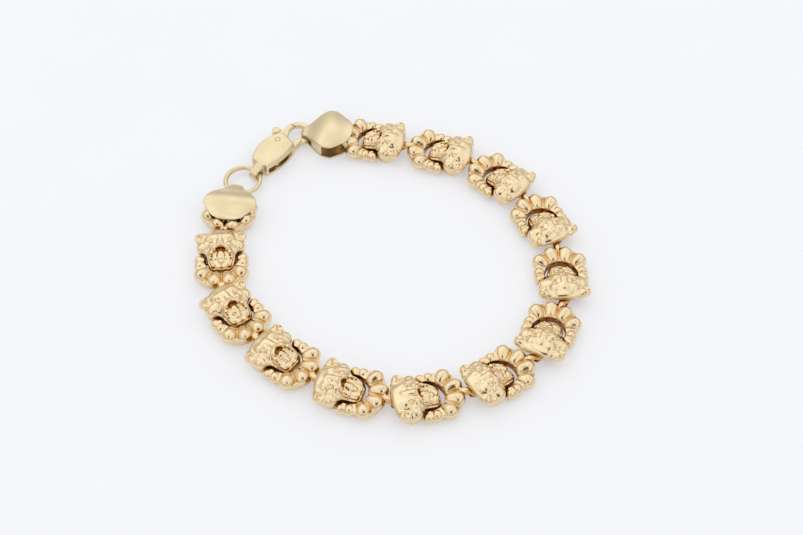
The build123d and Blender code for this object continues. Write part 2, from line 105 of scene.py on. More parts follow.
# Round marks on a head, on both sides, a ring where its radius is over nothing
Mark = namedtuple("Mark", "part along side radius width lift")
FACE_MARKS = [
    Mark("eyeball", 2.50, 1.74, 0.0, 0.22, 0.17),
    Mark("pupil", 2.58, 1.70, 0.0, 0.09, -0.12),
    Mark("eyelid groove", 2.50, 1.74, 0.40, 0.08, -0.15),
    Mark("nostril", 3.62, 0.30, 0.0, 0.12, -0.26),
    Mark("nose wing", 3.40, 0.46, 0.0, 0.17, 0.11),
    Mark("whisker root", 3.24, 1.30, 0.0, 0.07, 0.04),
    Mark("whisker root", 3.30, 1.72, 0.0, 0.07, 0.04),
    Mark("whisker root", 3.58, 1.20, 0.0, 0.07, 0.04),
    Mark("whisker root", 3.66, 1.62, 0.0, 0.07, 0.04),
]

# Creases between the lobes of a collar, and the ridge along the wide ones, in mm about its opening
LOBE_LINES = [
    Line("crease", [(2.80, 0.0), (5.80, 0.0)], 0.10, -0.10),
    Line("crease", [(2.30, 1.42), (4.90, 3.03)], 0.10, -0.10),
    Line("crease", [(1.50, 2.60), (2.25, 4.60)], 0.11, -0.12),
    Line("crease", [(0.08, 2.60), (0.08, 4.70)], 0.11, -0.12),
    Line("ridge", [(3.30, 0.88), (5.30, 1.46)], 0.28, 0.08),
    Line("ridge", [(2.34, 2.52), (3.75, 3.95)], 0.28, 0.08),
]

# The wide lobes of a collar are filled out until they meet
# Each filling has its bearing in degrees, its reach and radius in mm, and how much wider than round it is
Filling = namedtuple("Filling", "bearing reach radius across")
LOBE_FILLINGS = [
    Filling(15.5, 4.74, 1.28, 1.08),
    Filling(15.5, 4.08, 1.08, 1.16),
    Filling(15.5, 3.56, 0.87, 1.30),
    Filling(48.0, 4.54, 1.28, 1.08),
    Filling(48.0, 3.98, 1.08, 1.16),
    Filling(48.0, 3.54, 0.87, 1.30),
]
LOBE_HEIGHT = 1.63

# Round beads on the arms of a collar: place and radius in mm
Swelling = namedtuple("Swelling", "along side height radius")
ARM_BEADS = [
    Swelling(-0.59, 3.72, 1.27, 0.86),
    Swelling(0.74, 3.62, 1.42, 0.97),
]

# The tab between a collar and the next head: its ends along the collar, its height and thickness in mm
TAB_ENDS = (5.3, 6.5)
TAB_HEIGHT = 1.6
TAB_RADIUS = 0.65

# Where a head's neck pin and a collar's eye stand in their own frames, in mm along them
NECK_PIN = 0.65
COLLAR_EYE = 7.7

# From the tip of each cap's tongue to the pin that its chain turns on, in mm
LEFT_CAP_REACH = 12.8
RIGHT_CAP_REACH = 5.8

# The two lips of the lower jaw from the mouth's corner to the middle of the chin, in mm, and their thickness
Rail = namedtuple("Rail", "points radius")
JAW_LIPS = [
    Rail([(5.00, 1.98, 2.50), (5.70, 1.97, 2.28), (6.84, 1.60, 1.80), (7.08, 1.12, 1.76), (7.08, 0.35, 1.74),
          (7.00, -0.01, 1.70)], 0.15),
    Rail([(5.10, 2.26, 2.10), (5.90, 2.18, 1.82), (6.96, 1.80, 1.36), (7.24, 1.30, 1.30), (7.24, 0.35, 1.28),
          (7.16, -0.01, 1.24)], 0.14),
]

# Teeth on one side of a mouth: place and radius of each in mm, and its height as a share of that
Tooth = namedtuple("Tooth", "along side height radius tall")
TEETH = [
    Tooth(4.28, 0.98, 3.00, 0.20, 1.5),
    Tooth(5.35, 1.54, 2.34, 0.18, 1.1),
    Tooth(5.78, 1.48, 2.18, 0.17, 1.1),
    Tooth(6.18, 1.38, 2.02, 0.16, 1.1),
    Tooth(6.62, 0.72, 1.82, 0.17, 1.2),
    Tooth(6.66, 0.36, 1.80, 0.16, 1.2),
    Tooth(6.66, 0.00, 1.80, 0.16, 1.2),
]

# Swellings of the tongue and its root: place and radius in mm
TONGUE = [
    Swelling(4.75, 0.36, 2.36, 0.42),
    Swelling(5.20, 0.34, 2.22, 0.46),
    Swelling(5.70, 0.26, 2.02, 0.44),
]

# Roof plate of the lower jaw that the teeth stand on: its middle, size and slope in mm and degrees
PALATE_MIDDLE = (5.50, 0, 2.02)
PALATE_SIZE = (2.75, 2.9, 0.5)
PALATE_SLOPE = 20.8

# The cast canines are worn down: place, reach and height in mm, and the share that stays above that height
Canine = namedtuple("Canine", "along side reach height")
CANINES = [
    Canine(4.72, 1.55, 0.50, 3.10),
    Canine(6.75, 1.15, 0.42, 2.12),
]
WORN_SHARE = 0.15

# The ears are drawn in about their middles: place in mm, share kept, and where that starts and ends
EAR_MIDDLE = (1.00, 3.42, 2.35)
EAR_SHARE = 0.84
EAR_REACH = (1.25, 2.10)

# Rounded fillings where the ears grow out of the cheeks, and between the nose and the brows
SKULL_FILLINGS = [
    Swelling(1.95, 3.12, 1.90, 1.00),
    Swelling(0.85, 2.75, 2.20, 1.05),
    Swelling(1.55, 0.72, 2.92, 0.90),
    Swelling(2.15, 0.74, 2.95, 0.76),
]

# The forehead is buffed smooth and the cheeks less, in mm: where that starts to fade and ends
FOREHEAD_END = (2.6, 3.4)
FOREHEAD_SIDE = (1.9, 2.7)
CROWN_END = (3.3, 4.1)
FOREHEAD_LOW = 2.6
CHEEK_SHARE = 0.2
BUFFING = 44

# The back of a head reaches out over the tab behind it, in mm: how far, and where that fades along and across
NAPE_REACH = 0.4
NAPE_ALONG = (0.0, 0.9)
NAPE_ACROSS = (1.32, 3.52)

# The lower walls of a head curve in: under this height, from this far beside the middle, by this share
UNDERCUT_HEIGHT = 1.7
UNDERCUT_SIDE = 2.75
UNDERCUT_SHARE = 0.42

# Behind this place the side walls rise from the table, by this share of the way to this height
# They rise outside the neck's foot, and the curve bends their lower edge
REAR_RISE_END = 2.2
REAR_RISE_HEIGHT = 1.75
REAR_RISE_SHARE = 0.9
REAR_RISE_CURVE = 0.7
NECK_FOOT_SIDE = 1.6

# Under the ears the rear corners are drawn forward: by this share, fading between these heights in mm
REAR_DRAW = 0.7
EAR_UNDERSIDE = (1.75, 2.3)

# A cap's tongue is drawn in to this share of its width at its end, and not at all from the shoulder, in mm
TONGUE_WIDTH = 0.74
TONGUE_END = 1.3
SHOULDER = 5.0

# A line is carved in full where the skin faces up, and not at all where it faces down
FACING_UP = (-0.05, 0.25)

# Rounds of smoothing, and the share of its faces that a piece keeps after it
LINK_SMOOTHING = 5
CAP_SMOOTHING = 16
CAP_FACES = 0.3
CLASP_SMOOTHING = 8
CLASP_FACES = 0.2

# Edges of the clasp that turn more than this, in degrees, are shaded as edges
CLASP_EDGE = 38

# Points of a solid's mesh closer than this are one, in mm
MERGE_DISTANCE = 0.0005

# The skin stays this far under the top of the solids, and a collar's over its underside, in mm
TOP_MARGIN = 0.004
COLLAR_UNDERSIDE = 0.5

# How fine the added balls and rods are
BALL_SEGMENTS = 20
BALL_RINGS = 12
ROD_SIDES = 16

# Recesses are found by rays from each point: how many, their length and their start off the skin in mm
# The gold is painted darker and warmer there, as painted shade
# The table counts less than metal in closing in the lower sides, so it adds less painted shade to them
RECESS_RAYS = 28
RECESS_REACH = 3.0
RAY_START = 0.02
TABLE_SHARE = 0.3

# Sizes of the patterns in the finishes, in mm
CAST_CLOUD = 1.54
POLISHING_MARK = 0.125
CAP_CLOUD = 3.33
BUFFING_MARK = 0.154
TABLE_HAZE = 16.7

# How deep the marks of polishing and buffing are, in metres
MARK_DEPTH = 0.00002

# Table, in metres: its size, and how far it lies under the bracelet
TABLE_SIZE = 4.0
TABLE_DROP = 0.00001
TABLE_GLOW = 0.72

# Light tent: brightness by height over the table, and the opening in front of it, as directions
TENT_FOOT = (0.50, 0.46, 0.40, 1)
TENT_TOP = (1.0, 1.0, 1.0, 1)
TENT_BANDS = [(0.30, 0.66), (0.62, 0.98), (0.84, 1.0), (0.91, 0.58), (0.96, 1.0)]
TENT_STRENGTH = 1.08
OPENING_DIRECTION = (0.0, -0.64, 0.77)
OPENING_RADIUS = 0.28
OPENING_BLUR = 0.05
ROOM_COLOUR = (0.10, 0.062, 0.030, 1)

# Softbox: place, sides in metres and power in watts
SOFTBOX_PLACE = (-0.12, 0.20, 0.42)
SOFTBOX_SIDES = (0.6, 0.5)
SOFTBOX_POWER = 0.16

# Camera: place in metres, tilt from straight down in degrees, lens and sensor in mm
# It sees from the near to the far distance, in metres
CAMERA_PLACE = (0.0019275, -0.1580, 0.1943)
CAMERA_TILT = 39
CAMERA_LENS = 65.63
CAMERA_SENSOR = 36
CAMERA_NEAR = 0.001
CAMERA_FAR = 20


class BraceletSizes(bpy.types.PropertyGroup):
    """Sizes of the chain and how finely its pieces are carved."""

    link_pitch: bpy.props.FloatProperty(
        name="Link pitch", description="From one neck pin to the next",
        default=0.0125, unit="LENGTH", precision=5)
    route_x: bpy.props.FloatProperty(
        name="First pin X", description="Where the first head turns",
        default=-0.0291225, unit="LENGTH", precision=6)
    route_y: bpy.props.FloatProperty(
        name="First pin Y", description="Where the first head turns",
        default=0.004311137, unit="LENGTH", precision=6)
    route: bpy.props.FloatVectorProperty(
        name="Headings", description="Bearing of each link, from the left cap to the right cap", size=14,
        default=(-99, -85, -54, -36, -17, 11, 34, 66, 93, 116, 139, 164, 170, 172))
    head_grain: bpy.props.FloatProperty(
        name="Head detail", description="Size of the smallest form on a head",
        default=0.000112, unit="LENGTH", precision=6)
    collar_grain: bpy.props.FloatProperty(
        name="Collar detail", description="Size of the smallest form on a collar",
        default=0.00013, unit="LENGTH", precision=6)
    cap_grain: bpy.props.FloatProperty(
        name="Cap detail", description="Size of the smallest form on a cap",
        default=0.00009, unit="LENGTH", precision=6)
    clasp_grain: bpy.props.FloatProperty(
        name="Clasp detail", description="Size of the smallest form on the clasp and the jump ring",
        default=0.00006, unit="LENGTH", precision=6)
    carving: bpy.props.FloatProperty(
        name="Carving", description="Depth of the carved lines, as a share of their full depth",
        default=1.0, min=0, max=2)


class BraceletColours(bpy.types.PropertyGroup):
    """Colours of the gold, the painted shade in its recesses, and the table."""

    gold: bpy.props.StringProperty(
        name="Gold", description="Colour of the polished gold", default="F8E1B8")
    # Painted shade: the colours the gold is painted halfway down and deep between the forms
    fold: bpy.props.StringProperty(
        name="Fold", description="Colour halfway down between the forms", default="E0AC5E")
    painted_shade: bpy.props.StringProperty(
        name="Recess", description="Colour deep between the forms", default="7A3F10")
    cap_gold: bpy.props.StringProperty(
        name="Cap gold", description="Colour of the caps and clasp", default="E9D8B4")
    cap_cloud: bpy.props.StringProperty(
        name="Cap cloud", description="Colour of the darker clouds on them", default="E0CEA6")
    table: bpy.props.StringProperty(
        name="Table", description="Colour of the table", default="C6C7CA")
    table_haze: bpy.props.StringProperty(
        name="Table haze", description="Colour of the darker haze on the table", default="C4C5C8")
    head_roughness: bpy.props.FloatProperty(
        name="Cast roughness", description="Roughness of the cast pieces",
        default=0.17, min=0, max=1, subtype="FACTOR")
    cap_roughness: bpy.props.FloatProperty(
        name="Polish roughness", description="Roughness of the caps and clasp",
        default=0.29, min=0, max=1, subtype="FACTOR")


def sizes():
    return bpy.context.scene.bracelet_sizes


def colours():
    return bpy.context.scene.bracelet_colours


# Helpers for modelling


def deselect_all():
    bpy.ops.object.select_all(action="DESELECT")


def choose(*objects):
    """Selects only these objects, with the last one active."""
    deselect_all()
    for item in objects:
        item.select_set(True)
    bpy.context.view_layer.objects.active = objects[-1]


def apply_modifier(item, kind, **settings):
    choose(item)
    modifier = item.modifiers.new(kind.title(), kind)
    for key, value in settings.items():
        setattr(modifier, key, value)
    bpy.ops.object.modifier_apply(modifier=modifier.name)


def copy_of_node(node, name, to_own_frame):
    """A copy of a CAD piece as one merged skin, brought to its own frame in millimetres."""
    source = frame["nodes"][node]
    piece = source.copy()
    piece.data = source.data.copy()
    piece.name = piece.data.name = name
    piece.parent = None
    piece.hide_render = piece.hide_viewport = False
    for key in list(piece.keys()):
        del piece[key]
    bpy.context.scene.collection.objects.link(piece)
    piece.data.materials.clear()
    piece.data.transform(to_own_frame)
    choose(piece)
    bpy.ops.object.mode_set(mode="EDIT")
    bpy.ops.mesh.select_all(action="SELECT")
    bpy.ops.mesh.remove_doubles(threshold=MERGE_DISTANCE)
    bpy.ops.object.mode_set(mode="OBJECT")
    return piece


def ball(place, radius, stretch=(1, 1, 1), turn=(0, 0, 0)):
    bpy.ops.mesh.primitive_uv_sphere_add(
        segments=BALL_SEGMENTS, ring_count=BALL_RINGS, radius=radius, location=place, scale=stretch,
        rotation=turn)
    return bpy.context.active_object


def rod(start, end, radius):
    """A round rod with ball ends between two points."""
    start, end = Vector(start), Vector(end)
    run = end - start
    turn = run.to_track_quat("Z", "Y").to_euler()
    bpy.ops.mesh.primitive_cylinder_add(
        vertices=ROD_SIDES, radius=radius, depth=run.length, location=(start + end) / 2, rotation=turn)
    return [bpy.context.active_object, ball(start, radius), ball(end, radius)]


def fuse(base, additions, grain):
    """Joins the pieces and gives them one skin."""
    choose(*additions, base)
    bpy.ops.object.join()
    bpy.ops.object.transform_apply(location=True, rotation=True, scale=True)
    apply_modifier(base, "REMESH", mode="VOXEL", voxel_size=grain)


def points_of(mesh):
    values = np.empty(len(mesh.vertices) * 3)
    mesh.vertices.foreach_get("co", values)
    return values.reshape(-1, 3)


def normals_of(mesh):
    values = np.empty(len(mesh.vertices) * 3, np.float32)
    mesh.vertex_normals.foreach_get("vector", values)
    return values.reshape(-1, 3).astype(float)


def set_points(mesh, points):
    mesh.vertices.foreach_set("co", points.ravel())
    mesh.update()


def fade(values, ends):
    """From 1 before the first end to 0 after the second."""
    return np.clip((ends[1] - values) / (ends[1] - ends[0]), 0, 1)


def eased(share):
    """The same share, with a soft start and end."""
    return share * share * (3 - 2 * share)


def distance_to_line(plan, points):
    """How far each plan point is from a line of straight runs."""
    nearest = np.full(len(plan), np.inf)
    for start, end in zip(points[:-1], points[1:]):
        start = np.array(start, float)
        run = np.array(end, float) - start
        share = np.clip(((plan - start) @ run) / (run @ run), 0, 1)
        nearest = np.minimum(nearest, np.linalg.norm(plan - start - share[:, None] * run, axis=1))
    return nearest


def rounded_line(points):
    """The same line with its corners rounded, by cutting them twice."""
    line = [np.array(point, float) for point in points]
    for _ in range(2):
        cut = [line[0]]
        for start, end in zip(line[:-1], line[1:]):
            cut += [start * 0.75 + end * 0.25, start * 0.25 + end * 0.75]
        line = cut + [line[-1]]
    return line


def carve(piece, lines, marks, depth):
    """Moves the skin out or in along the lines and marks, where it faces up."""
    points = points_of(piece.data)
    normals = normals_of(piece.data)
    plan = np.column_stack([points[:, 0], np.abs(points[:, 1])])
    lift = np.zeros(len(points))
    for row in lines:
        away = distance_to_line(plan, rounded_line(row.points))
        lift += row.lift * np.exp(-0.5 * (away / row.width) ** 2)
    for row in marks:
        away = np.abs(np.linalg.norm(plan - np.array([row.along, row.side]), axis=1) - row.radius)
        lift += row.lift * np.exp(-0.5 * (away / row.width) ** 2)
    facing_up = 1 - fade(normals[:, 2], FACING_UP)
    set_points(piece.data, points + normals * (lift * facing_up * depth)[:, None])


def keep_inside(piece, low, high):
    """Holds the skin inside the solid's own height, so it still lies flat."""
    points = points_of(piece.data)
    points[:, 2] = np.clip(points[:, 2], low, high)
    set_points(piece.data, points)


def wear_down(piece, spots):
    """Presses what stands over a height at each spot down to it."""
    points = points_of(piece.data)
    for row in spots:
        away = np.hypot(points[:, 0] - row.along, np.abs(points[:, 1]) - row.side)
        over = (away < row.reach) & (points[:, 2] > row.height)
        points[over, 2] = row.height + (points[over, 2] - row.height) * WORN_SHARE
    set_points(piece.data, points)


def draw_in(piece, middle, share_kept, reach):
    """Draws the skin near a place and its mirror image in towards them."""
    points = points_of(piece.data)
    for side in SIDES:
        centre = np.array([middle[0], side * middle[1], middle[2]])
        away = np.linalg.norm(points - centre, axis=1)
        keep = share_kept + (1 - share_kept) * eased(1 - fade(away, reach))
        points = centre + (points - centre) * keep[:, None]
    set_points(piece.data, points)


def stretch_back(piece):
    """Draws the nape of a head out behind it."""
    points = points_of(piece.data)
    share = fade(points[:, 0], NAPE_ALONG) * fade(np.abs(points[:, 1]), NAPE_ACROSS)
    points[:, 0] -= NAPE_REACH * share
    set_points(piece.data, points)


def undercut(piece):
    """Curves the lower walls of a head in, lifts them at the back and draws its corners forward."""
    points = points_of(piece.data)
    outside_the_foot = np.abs(points[:, 1]) > NECK_FOOT_SIDE
    rise = REAR_RISE_SHARE * fade(points[:, 0], (0, REAR_RISE_END)) ** REAR_RISE_CURVE
    points[:, 2] += np.clip(REAR_RISE_HEIGHT - points[:, 2], 0, None) * outside_the_foot * rise
    low_corner = outside_the_foot * fade(points[:, 2], EAR_UNDERSIDE)
    points[:, 0] += REAR_DRAW * np.clip(EAR_MIDDLE[0] - points[:, 0], 0, None) * low_corner
    depth = fade(points[:, 2], (0, UNDERCUT_HEIGHT)) ** 2
    beyond = np.abs(points[:, 1]) - UNDERCUT_SIDE
    keep = np.where(beyond > 0, beyond * (1 - UNDERCUT_SHARE * depth), beyond)
    points[:, 1] = np.sign(points[:, 1]) * (UNDERCUT_SIDE + keep)
    set_points(piece.data, points)


def buff(piece, weights, iterations):
    """Smooths the skin by a weight on each point."""
    group = piece.vertex_groups.new(name="buffed")
    for index in np.flatnonzero(weights > 0.01).tolist():
        group.add([index], float(weights[index]), "REPLACE")
    apply_modifier(piece, "SMOOTH", factor=0.5, iterations=iterations, vertex_group=group.name)
    piece.vertex_groups.clear()


def ray_fan():
    """Rays spread over the half ball around Z, denser towards its top."""
    golden = math.pi * (3 - math.sqrt(5))
    fan = []
    for index in range(RECESS_RAYS):
        height = (index + 0.5) / RECESS_RAYS
        flat = math.sqrt(1 - height)
        angle = golden * index
        fan.append(Vector((flat * math.cos(angle), flat * math.sin(angle), math.sqrt(height))))
    return fan


def shade_recesses(piece, neighbours):
    """Writes the painted shade of each point, how closed in it is from 0 in the open to 1 in a crevice, as
    the attribute recess.
    """
    points = points_of(piece.data)
    normals = normals_of(piece.data)
    trees = [BVHTree.FromPolygons([vertex.co for vertex in item.data.vertices],
                                  [polygon.vertices for polygon in item.data.polygons])
             for item in [piece] + neighbours]
    fan = ray_fan()
    closed = np.empty(len(points), np.float32)
    for index in range(len(points)):
        normal = Vector(normals[index])
        turn = normal.to_track_quat("Z", "Y")
        origin = Vector(points[index]) + normal * RAY_START
        hits = 0
        for ray in fan:
            direction = turn @ ray
            if any(tree.ray_cast(origin, direction, RECESS_REACH)[0] is not None for tree in trees):
                hits += 1
            elif origin.z + direction.z * RECESS_REACH < 0:
                hits += TABLE_SHARE
        closed[index] = hits / RECESS_RAYS
    attribute = piece.data.attributes.new("painted_shade", "FLOAT", "POINT")
    attribute.data.foreach_set("value", closed)


def shifted_copies(master, shifts):
    """Copies of a finished piece, moved along the chain by these shifts in mm."""
    copies = []
    for shift in shifts:
        piece = master.copy()
        piece.data = master.data.copy()
        piece.data.transform(Matrix.Translation((shift, 0, 0)))
        copies.append(piece)
    return copies


def clear_away(pieces):
    for piece in pieces:
        bpy.data.meshes.remove(piece.data)


def lay_copy(master, name, place, node, finish, body):
    """A copy of a finished piece, with its own mesh, laid where its solid is."""
    piece = master.copy()
    piece.data = master.data.copy()
    piece.name = piece.data.name = name
    bpy.context.scene.collection.objects.link(piece)
    piece.data.transform(place)
    piece.data.materials.clear()
    piece.data.materials.append(finish)
    choose(piece)
    bpy.ops.object.shade_smooth()
    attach(piece, body)
    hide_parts(node)


def body_of(node):
    bodies = frame["record"]["behaviour"]["bodies"]
    return next(body for body, nodes in bodies.items() if node in nodes)


def top_of_skin():
    """The height that no skin may pass, in mm."""
    return cad_box[1][2] / MM - TOP_MARGIN


# Places on the route


def route_pins():
    """The neck pins along the chain, in metres, one more than there are heads."""
    setup = sizes()
    pins = [Vector((setup.route_x, setup.route_y, 0))]
    for heading in list(setup.route)[1:-1]:
        angle = math.radians(heading)
        pins.append(pins[-1] + Vector((math.cos(angle), math.sin(angle), 0)) * setup.link_pitch)
    return pins


def place_of(pin, heading, back):
    """From a piece's own frame in millimetres to its place on the route in metres."""
    turned = Matrix.Translation(pin) @ Matrix.Rotation(math.radians(heading), 4, "Z")
    return turned @ Matrix.Scale(MM, 4) @ Matrix.Translation((-back, 0, 0))


def head_place(index):
    return place_of(route_pins()[index], sizes().route[index + 1], NECK_PIN)


def left_cap_place():
    return place_of(route_pins()[0], sizes().route[0], LEFT_CAP_REACH)


def right_cap_place():
    return place_of(route_pins()[-1], sizes().route[-1] + 180, RIGHT_CAP_REACH)


def collar_place(index):
    return place_of(route_pins()[index], sizes().route[index], COLLAR_EYE)


def collar_from_head():
    """Where the collar behind a head and the collar around its jaw lie in the head's frame, in mm."""
    return NECK_PIN - COLLAR_EYE, NECK_PIN - COLLAR_EYE + sizes().link_pitch / MM


def head_from_collar():
    """Where the head in front of a collar and the head inside it lie in the collar's frame, in mm."""
    return COLLAR_EYE - NECK_PIN, COLLAR_EYE - NECK_PIN - sizes().link_pitch / MM


# Materials


def linear(code):
    """An sRGB hex colour as linear red, green, blue and alpha."""
    channels = [int(code[start:start + 2], 16) / 255 for start in (0, 2, 4)]
    return [c / 12.92 if c <= 0.04045 else ((c + 0.055) / 1.055) ** 2.4 for c in channels] + [1]


def node(tree, kind, settings=None, links=None, **values):
    """Adds a node, sets its properties and sockets, and links its inputs."""
    added = tree.nodes.new(kind)
    for key, value in (settings or {}).items():
        setattr(added, key, value)
    for key, value in values.items():
        added.inputs[key.replace("_", " ")].default_value = value
    for key, source in (links or {}).items():
        tree.links.new(source, added.inputs[key])
    return added


def empty_material(name):
    """A material with no nodes but the object's own coordinates."""
    material = bpy.data.materials.new(name)
    material.use_nodes = True
    material.node_tree.nodes.clear()
    place = node(material.node_tree, "ShaderNodeTexCoord")
    return material, material.node_tree, place.outputs["Object"]


def pattern(tree, place, size, detail):
    """Noise whose blots are this many mm across."""
    return node(tree, "ShaderNodeTexNoise", links={"Vector": place}, Scale=1 / (size * MM), Detail=detail)


def made_once(name, make):
    """The material of this name, made when it is first asked for."""
    return bpy.data.materials.get(name) or make(name)


def cast_gold(name):
    """Pale 14k gold, lost-wax cast and polished.

    The raised forms are bright cream; the recesses are painted darker and warmer, as painted shade where the
    forms close them in.
    """
    material, tree, place = empty_material(name)
    # How much painted shade each point gets, as written by the rays
    painted_shade = node(tree, "ShaderNodeAttribute", {"attribute_name": "painted_shade"})
    # Painted shade: colour from the open skin to the deepest crevice, darker and warmer the more closed in
    depth = node(tree, "ShaderNodeValToRGB", links={"Fac": painted_shade.outputs["Fac"]})
    ramp = depth.color_ramp
    ramp.elements[0].position = 0.16
    ramp.elements[0].color = linear(colours().gold)
    ramp.elements[1].position = 0.82
    ramp.elements[1].color = linear(colours().painted_shade)
    fold = ramp.elements.new(0.48)
    fold.color = linear(colours().fold)
    # Cloudy change of tone
    cloud = pattern(tree, place, CAST_CLOUD, 3.0)
    tone = node(tree, "ShaderNodeMix", {"data_type": "RGBA", "blend_type": "MULTIPLY"})
    tone.inputs["Factor"].default_value = 0.16
    tree.links.new(depth.outputs["Color"], tone.inputs["A"])
    tree.links.new(cloud.outputs["Fac"], tone.inputs["B"])
    # Fine marks of polishing, on skin that stays rougher in the recesses
    grit = pattern(tree, place, POLISHING_MARK, 2.0)
    rough = node(tree, "ShaderNodeMapRange", links={"Value": painted_shade.outputs["Fac"]})
    rough.inputs["From Min"].default_value = 0.3
    rough.inputs["From Max"].default_value = 0.9
    rough.inputs["To Min"].default_value = colours().head_roughness
    rough.inputs["To Max"].default_value = 0.42
    bump = node(
        tree, "ShaderNodeBump", links={"Height": grit.outputs["Fac"]}, Strength=0.10, Distance=MARK_DEPTH)
    shader = node(
        tree, "ShaderNodeBsdfPrincipled",
        links={"Base Color": tone.outputs["Result"], "Roughness": rough.outputs["Result"],
               "Normal": bump.outputs["Normal"]},
        Metallic=1.0)
    node(tree, "ShaderNodeOutputMaterial", links={"Surface": shader.outputs["BSDF"]})
    return material


def polished_gold(name):
    """Pale 14k gold, rolled and buffed. Smooth, with long soft reflections and faint marks of buffing."""
    material, tree, place = empty_material(name)
    cloud = pattern(tree, place, CAP_CLOUD, 2.0)
    tone = node(tree, "ShaderNodeValToRGB", links={"Fac": cloud.outputs["Fac"]})
    tone.color_ramp.elements[0].position = 0.3
    tone.color_ramp.elements[0].color = linear(colours().cap_gold)
    tone.color_ramp.elements[1].position = 0.75
    tone.color_ramp.elements[1].color = linear(colours().cap_cloud)
    # Faint marks of buffing
    marks = pattern(tree, place, BUFFING_MARK, 2.0)
    bump = node(
        tree, "ShaderNodeBump", links={"Height": marks.outputs["Fac"]}, Strength=0.05, Distance=MARK_DEPTH)
    rough = node(tree, "ShaderNodeMapRange", links={"Value": cloud.outputs["Fac"]})
    rough.inputs["To Min"].default_value = colours().cap_roughness - 0.03
    rough.inputs["To Max"].default_value = colours().cap_roughness + 0.06
    shader = node(
        tree, "ShaderNodeBsdfPrincipled",
        links={"Base Color": tone.outputs["Color"], "Roughness": rough.outputs["Result"],
               "Normal": bump.outputs["Normal"]},
        Metallic=1.0)
    node(tree, "ShaderNodeOutputMaterial", links={"Surface": shader.outputs["BSDF"]})
    return material


def opal_acrylic(name):
    """Opal acrylic light table. Plain, pale and glowing a little, so the shadows on it stay soft and thin."""
    material, tree, place = empty_material(name)
    haze = pattern(tree, place, TABLE_HAZE, 2.0)
    tone = node(tree, "ShaderNodeValToRGB", links={"Fac": haze.outputs["Fac"]})
    tone.color_ramp.elements[0].color = linear(colours().table_haze)
    tone.color_ramp.elements[1].color = linear(colours().table)
    shader = node(
        tree, "ShaderNodeBsdfPrincipled",
        links={"Base Color": tone.outputs["Color"], "Emission Color": tone.outputs["Color"]},
        Roughness=0.9, Emission_Strength=TABLE_GLOW)
    shader.inputs["Specular IOR Level"].default_value = 0.1
    node(tree, "ShaderNodeOutputMaterial", links={"Surface": shader.outputs["BSDF"]})
    return material


# Master shapes


def balls_on_both_sides(rows):
    """A ball at each place and at its mirror image."""
    return [ball((row.along, side * row.side, row.height), row.radius) for row in rows for side in SIDES]


def teeth():
    """Standing ovals along the jaws, with one only on the middle line."""
    shapes = []
    for row in TEETH:
        for side in (SIDES if row.side else SIDES[:1]):
            place = (row.along, side * row.side, row.height)
            shapes.append(ball(place, row.radius, stretch=(1, 1, row.tall)))
    return shapes


def jaw_lips():
    """The two lips of the lower jaw, as rods on both sides."""
    shapes = []
    for rail in JAW_LIPS:
        for side in SIDES:
            places = [(x, side * y, z) for x, y, z in rail.points]
            for start, end in zip(places[:-1], places[1:]):
                shapes += rod(start, end, rail.radius)
    return shapes


def model_head():
    """One roaring head in its own frame: the solid, its teeth, tongue and lips, one skin and the carving."""
    head = copy_of_node(HEADS[0], "head_master", head_place(0).inverted())
    additions = balls_on_both_sides(SKULL_FILLINGS) + teeth() + balls_on_both_sides(TONGUE)
    bpy.ops.mesh.primitive_cube_add(
        size=1, location=PALATE_MIDDLE, rotation=(0, math.radians(PALATE_SLOPE), 0), scale=PALATE_SIZE)
    additions.append(bpy.context.active_object)
    additions += jaw_lips()
    fuse(head, additions, sizes().head_grain / MM)
    wear_down(head, CANINES)
    draw_in(head, EAR_MIDDLE, EAR_SHARE, EAR_REACH)
    stretch_back(head)
    undercut(head)
    apply_modifier(head, "SMOOTH", factor=0.5, iterations=LINK_SMOOTHING)
    points = points_of(head.data)
    forehead = fade(points[:, 0], FOREHEAD_END) * fade(np.abs(points[:, 1]), FOREHEAD_SIDE)
    cheeks = CHEEK_SHARE * fade(points[:, 0], CROWN_END)
    buff(head, np.maximum(forehead, cheeks) * (points[:, 2] > FOREHEAD_LOW), BUFFING)
    carve(head, FACE_LINES + FUR_LINES, FACE_MARKS, sizes().carving)
    keep_inside(head, 0, top_of_skin())
    return head


def model_collar():
    """One collar in its own frame: the solid with one skin, its lobes creased and ridged."""
    collar = copy_of_node(COLLARS[0], "collar_master", collar_place(0).inverted())
    additions = rod((TAB_ENDS[0], 0, TAB_HEIGHT), (TAB_ENDS[1], 0, TAB_HEIGHT), TAB_RADIUS)
    for side in SIDES:
        for row in LOBE_FILLINGS:
            angle = side * math.radians(row.bearing)
            place = (row.reach * math.cos(angle), row.reach * math.sin(angle), LOBE_HEIGHT)
            additions.append(ball(place, row.radius, stretch=(1, row.across, 1), turn=(0, 0, angle)))
    additions += balls_on_both_sides(ARM_BEADS)
    fuse(collar, additions, sizes().collar_grain / MM)
    apply_modifier(collar, "SMOOTH", factor=0.5, iterations=LINK_SMOOTHING)
    carve(collar, LOBE_LINES, [], sizes().carving)
    keep_inside(collar, COLLAR_UNDERSIDE, top_of_skin())
    return collar


def model_cap(name, place):
    """A cap in its own frame: one soft skin with rounded edges, its tongue drawn in towards the fold."""
    cap = copy_of_node(name, "cap_master", place.inverted())
    apply_modifier(cap, "REMESH", mode="VOXEL", voxel_size=sizes().cap_grain / MM)
    points = points_of(cap.data)
    share = 1 - fade(points[:, 0], (TONGUE_END, SHOULDER))
    points[:, 1] *= TONGUE_WIDTH + (1 - TONGUE_WIDTH) * eased(share)
    set_points(cap.data, points)
    apply_modifier(cap, "SMOOTH", factor=0.5, iterations=CAP_SMOOTHING)
    keep_inside(cap, 0, top_of_skin())
    apply_modifier(cap, "DECIMATE", ratio=CAP_FACES)
    return cap


